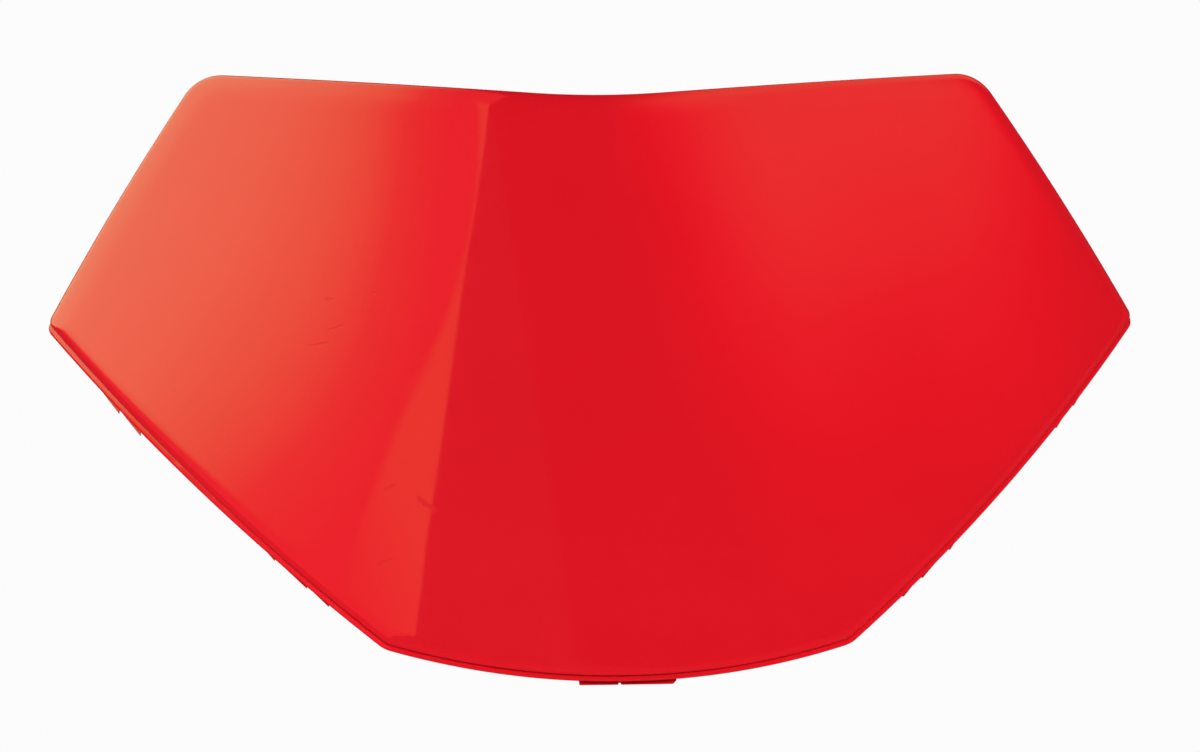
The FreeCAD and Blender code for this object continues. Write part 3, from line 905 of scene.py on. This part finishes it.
def finish_plate(shell, sizes, finish):
    """Gloss plastic on the outer faces and satin plastic on the back and in the hollow."""
    shell.data.materials.append(gloss_red_plastic(finish))
    shell.data.materials.append(satin_red_plastic(finish))
    bpy.ops.object.mode_set(mode="EDIT")

    def faces_back(face):
        centre = face.calc_center_median()
        inwards = face.normal.x * centre.x + face.normal.z * centre.z < 0.0
        return face.normal.y > BACK_FACING or (inwards and centre.y > sizes.wall - TOUCH)

    select_where(shell.data, "FACE", faces_back)
    shell.active_material_index = 1
    bpy.ops.object.material_slot_assign()
    bpy.ops.object.mode_set(mode="OBJECT")


class NUMBERPLATE_OT_stage(bpy.types.Operator):
    """Set up the pale floor, the studio light and the camera"""

    bl_idname = "number_plate.stage"
    bl_label = "Set the stage"

    def execute(self, context):
        lay_floor()
        light_studio()
        aim_camera(context.scene)
        context.scene.view_settings.view_transform = "Standard"
        return {"FINISHED"}


def lay_floor():
    """A floor well below the plate, pale to the camera and left out of reflections."""
    deselect_all()
    bpy.ops.mesh.primitive_plane_add(size=FLOOR_SIZE, location=(0.0, 0.0, 0.0))
    floor = bpy.context.object
    floor.name = "studio_floor"
    floor.data.transform(Matrix.Translation((0.0, 0.0, FLOOR_HEIGHT)))
    pale = Finish("pale_floor")
    pale.paint("Base Color", FLOOR_GREY)
    pale.paint("Roughness", FLOOR_ROUGHNESS)
    pale.paint("Emission Color", WHITE)
    path = pale.add("ShaderNodeLightPath", {})
    to_camera = pale.maths("MULTIPLY", path.outputs["Is Camera Ray"], FLOOR_TO_CAMERA)
    pale.paint("Emission Strength", to_camera)
    floor.data.materials.append(pale.material)
    floor.visible_glossy = False


def hang_lamp(name, place, width, height, watts):
    """A large soft lamp that faces the plate."""
    lamp = bpy.data.lights.new(name, "AREA")
    lamp.shape = "RECTANGLE"
    lamp.size, lamp.size_y = width, height
    lamp.energy = watts
    holder = bpy.data.objects.new(name, lamp)
    bpy.context.scene.collection.objects.link(holder)
    holder.location = place
    holder.rotation_euler = (-Vector(place)).to_track_quat("-Z", "Y").to_euler()
    holder.visible_glossy = False


def hang_card(name, azimuth, elevation, corners):
    """A card that shows only in reflections: its light, the colour to feed, and its places across and up."""
    along = Vector((math.cos(azimuth), math.sin(azimuth), 0.0))
    out = Vector((
        math.sin(azimuth) * math.cos(elevation),
        -math.cos(azimuth) * math.cos(elevation),
        math.sin(elevation),
    ))
    up = out.cross(along)
    deselect_all()
    bpy.ops.mesh.primitive_circle_add(vertices=len(corners), fill_type="NGON")
    card = bpy.context.object
    card.name = name
    for vert, (across, height) in zip(card.data.vertices, corners):
        vert.co = (across, height, 0.0)
    card.matrix_world = Matrix((along, up, out)).transposed().to_4x4()
    card.location = out * CARD_DISTANCE
    card.visible_camera = False
    card.visible_diffuse = False
    card.visible_shadow = False
    light = Finish(name)
    glow = light.add("ShaderNodeEmission", {"Strength": CARD_PEAK})
    light.feed(light.tree.nodes["Material Output"].inputs["Surface"], glow.outputs["Emission"])
    light.tree.nodes.remove(light.shader)
    card.data.materials.append(light.material)
    place = light.add("ShaderNodeSeparateXYZ", {"Vector": light.place})
    return light, glow.inputs["Color"], place.outputs["X"], place.outputs["Y"]


def card_brightness(light, along, stops):
    """The brightness of a card where a value runs along its stops."""
    first, last = stops[0][0], stops[-1][0]
    share = light.add("ShaderNodeMapRange", {"Value": along, "From Min": first, "From Max": last})
    ramp = light.add("ShaderNodeValToRGB", {"Fac": share.outputs["Result"]})
    elements = ramp.color_ramp.elements
    ready = len(elements)
    for number, (place, brightness) in enumerate(stops):
        position = (place - first) / (last - first)
        element = elements[number] if number < ready else elements.new(position)
        element.position = position
        element.color = card_colour(brightness)
    return ramp.outputs["Color"]


def card_colour(brightness):
    """A brightness as a colour, which the card's strength brings up again."""
    return opaque(level / CARD_PEAK for level in brightness)


def hang_softbox():
    """The warm softbox on the left: bright at its far side, with a paler band along its near edge."""
    light, glow_colour, across, height = hang_card(
        "left_softbox", SOFTBOX_AZIMUTH, SOFTBOX_ELEVATION, SOFTBOX_CORNERS)
    low = light.maths("MAXIMUM", light.maths("SUBTRACT", SOFTBOX_BEND_BELOW, height), 0.0)
    high = light.maths("MAXIMUM", light.maths("SUBTRACT", height, SOFTBOX_LEAN_ABOVE), 0.0)
    leaning = light.maths("MULTIPLY_ADD", high, SOFTBOX_LEAN, across)
    along = light.maths("MULTIPLY_ADD", light.maths("MULTIPLY", low, low), SOFTBOX_BEND, leaning)
    face = card_brightness(light, along, SOFTBOX_STOPS)

    past_border = light.maths("SUBTRACT", across, light.curve(height, *BAND_BORDER))
    inside = light.spread(past_border, -BAND_SOFTNESS, BAND_SOFTNESS)
    above_start = light.spread(height, *BAND_START)
    below_end = light.spread(height, *BAND_END, 1.0, 0.0)
    band = light.maths("MULTIPLY", inside, light.maths("MULTIPLY", above_start, below_end))
    light.feed(glow_colour, light.blend(band, face, card_colour(BAND_BRIGHTNESS)))


def hang_fill_card():
    """The dim card on the right, fading out towards the middle, the far side and below."""
    light, glow_colour, across, height = hang_card(
        "right_card", FILL_AZIMUTH, FILL_ELEVATION, FILL_CORNERS)
    sloping = light.maths("MULTIPLY_ADD", across, FILL_BELOW_SLOPE, height)
    from_below = light.spread(sloping, *FILL_BELOW)
    low = light.maths("MINIMUM", height, FILL_KNEE)
    high = light.maths("MAXIMUM", light.maths("SUBTRACT", height, FILL_KNEE), 0.0)
    leaning = light.total(
        across,
        light.maths("MULTIPLY", low, FILL_LOW_LEAN),
        light.maths("MULTIPLY", high, FILL_HIGH_LEAN),
    )
    from_middle = light.spread(leaning, *FILL_MIDDLE)
    from_side = light.spread(across, *FILL_SIDE, 1.0, 0.0)
    strength = light.maths("MULTIPLY", light.maths("MULTIPLY", from_below, from_middle), from_side)
    face = card_brightness(light, strength, FILL_STOPS)
    top = light.maths("MULTIPLY", light.spread(height, *FILL_TOP), from_middle)
    light.feed(glow_colour, light.blend(top, face, card_colour(FILL_TOP_BRIGHTNESS)))


def light_studio():
    """The backdrop, white to the camera, with the lamps and the two cards."""
    world = bpy.data.worlds.new("studio")
    bpy.context.scene.world = world
    world.use_nodes = True
    tree = world.node_tree
    background = tree.nodes["Background"]
    path = tree.nodes.new("ShaderNodeLightPath")
    level = tree.nodes.new("ShaderNodeMapRange")
    level.inputs["To Min"].default_value = BACKDROP_LIGHT
    level.inputs["To Max"].default_value = BACKDROP_TO_CAMERA
    tree.links.new(path.outputs["Is Camera Ray"], level.inputs["Value"])
    tree.links.new(level.outputs["Result"], background.inputs["Strength"])
    background.inputs["Color"].default_value = WHITE
    for lamp in LAMPS:
        hang_lamp(*lamp)
    hang_softbox()
    hang_fill_card()


def aim_camera(scene):
    """The camera at the photographer's place."""
    camera = bpy.data.cameras.new("photo_view")
    camera.lens = LENS
    camera.clip_end = VIEW_REACH
    holder = bpy.data.objects.new("photo_view", camera)
    scene.collection.objects.link(holder)
    look = Vector((math.sin(VIEW_YAW), math.cos(VIEW_YAW), 0.0))
    level_right = Vector((math.cos(VIEW_YAW), -math.sin(VIEW_YAW), 0.0))
    upright = Vector((0.0, 0.0, 1.0))
    right = math.cos(VIEW_ROLL) * level_right + math.sin(VIEW_ROLL) * upright
    up = math.cos(VIEW_ROLL) * upright - math.sin(VIEW_ROLL) * level_right
    holder.matrix_world = Matrix((right, up, -look)).transposed().to_4x4()
    holder.location = Vector(VIEW_AIM) - look * VIEW_DISTANCE
    scene.camera = holder


class NUMBERPLATE_PT_panel(bpy.types.Panel):
    """Sizes, finish and the steps that make the plate"""

    bl_idname = "NUMBERPLATE_PT_panel"
    bl_label = "Number plate"
    bl_space_type = "VIEW_3D"
    bl_region_type = "UI"
    bl_category = "Number plate"

    def draw(self, context):
        for group in (context.scene.plate_sizes, context.scene.finger_sizes, context.scene.plate_finish):
            box = self.layout.box()
            for name in group.__annotations__:
                box.prop(group, name)
        self.layout.operator(NUMBERPLATE_OT_mould.bl_idname)
        self.layout.operator(NUMBERPLATE_OT_stage.bl_idname)


CLASSES = (
    PlateSizes,
    FingerSizes,
    PlateFinish,
    NUMBERPLATE_OT_mould,
    NUMBERPLATE_OT_stage,
    NUMBERPLATE_PT_panel,
)


def register():
    for item in CLASSES:
        bpy.utils.register_class(item)
    bpy.types.Scene.plate_sizes = bpy.props.PointerProperty(type=PlateSizes)
    bpy.types.Scene.finger_sizes = bpy.props.PointerProperty(type=FingerSizes)
    bpy.types.Scene.plate_finish = bpy.props.PointerProperty(type=PlateFinish)


def unregister():
    del bpy.types.Scene.plate_finish
    del bpy.types.Scene.finger_sizes
    del bpy.types.Scene.plate_sizes
    for item in reversed(CLASSES):
        bpy.utils.unregister_class(item)


def main():
    register()
    bpy.ops.number_plate.mould()
    bpy.ops.number_plate.stage()


if __name__ == "__main__":
    main()
